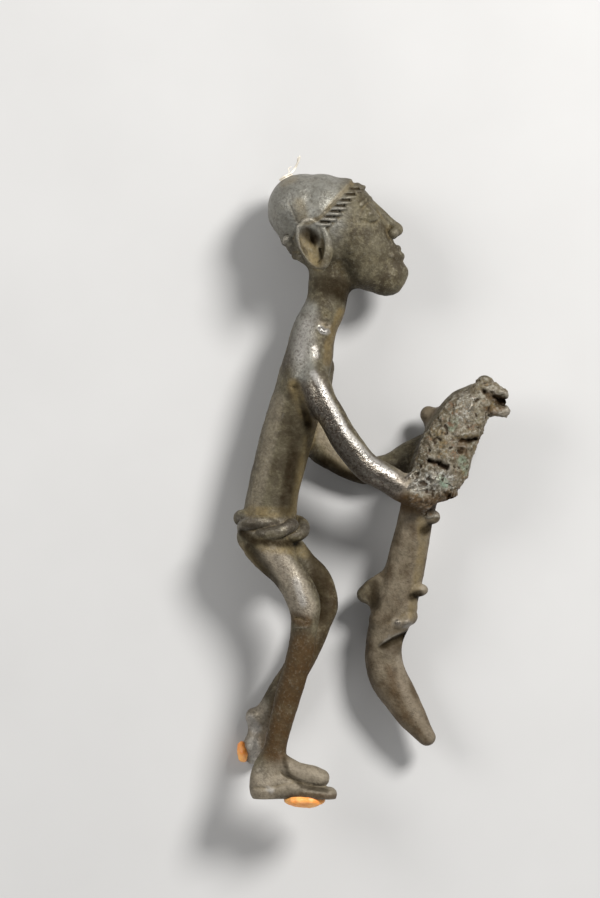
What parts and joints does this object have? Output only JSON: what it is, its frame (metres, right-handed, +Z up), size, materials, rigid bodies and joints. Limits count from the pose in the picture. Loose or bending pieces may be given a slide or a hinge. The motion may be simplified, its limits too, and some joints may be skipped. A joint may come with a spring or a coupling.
{
  "type": "cast brass goldweight figure",
  "caption": "Small solid brass goldweight: a man with bent knees, a twisted belt and a close cap holds a long knobbed beast in front of him; it lies on its left side.",
  "frame": {"origin": "middle of the bounding box, on the surface that the figure lies on", "axes": "+Y from the sole towards the crown, +X the way the figure faces, +Z up from the surface, out of its right side"},
  "size_m": [0.036, 0.082, 0.0141],
  "materials": {
    "patinated_brass": "dark grey-brown patina, rubbed bright on the ridges, with ochre dirt in the hollows",
    "orange_wax": "soft modelling wax"
  },
  "bodies": {
    "root": {"figure": "patinated_brass", "wax_under_right_foot": "orange_wax", "wax_on_left_foot": "orange_wax"}
  },
  "joints": []
}
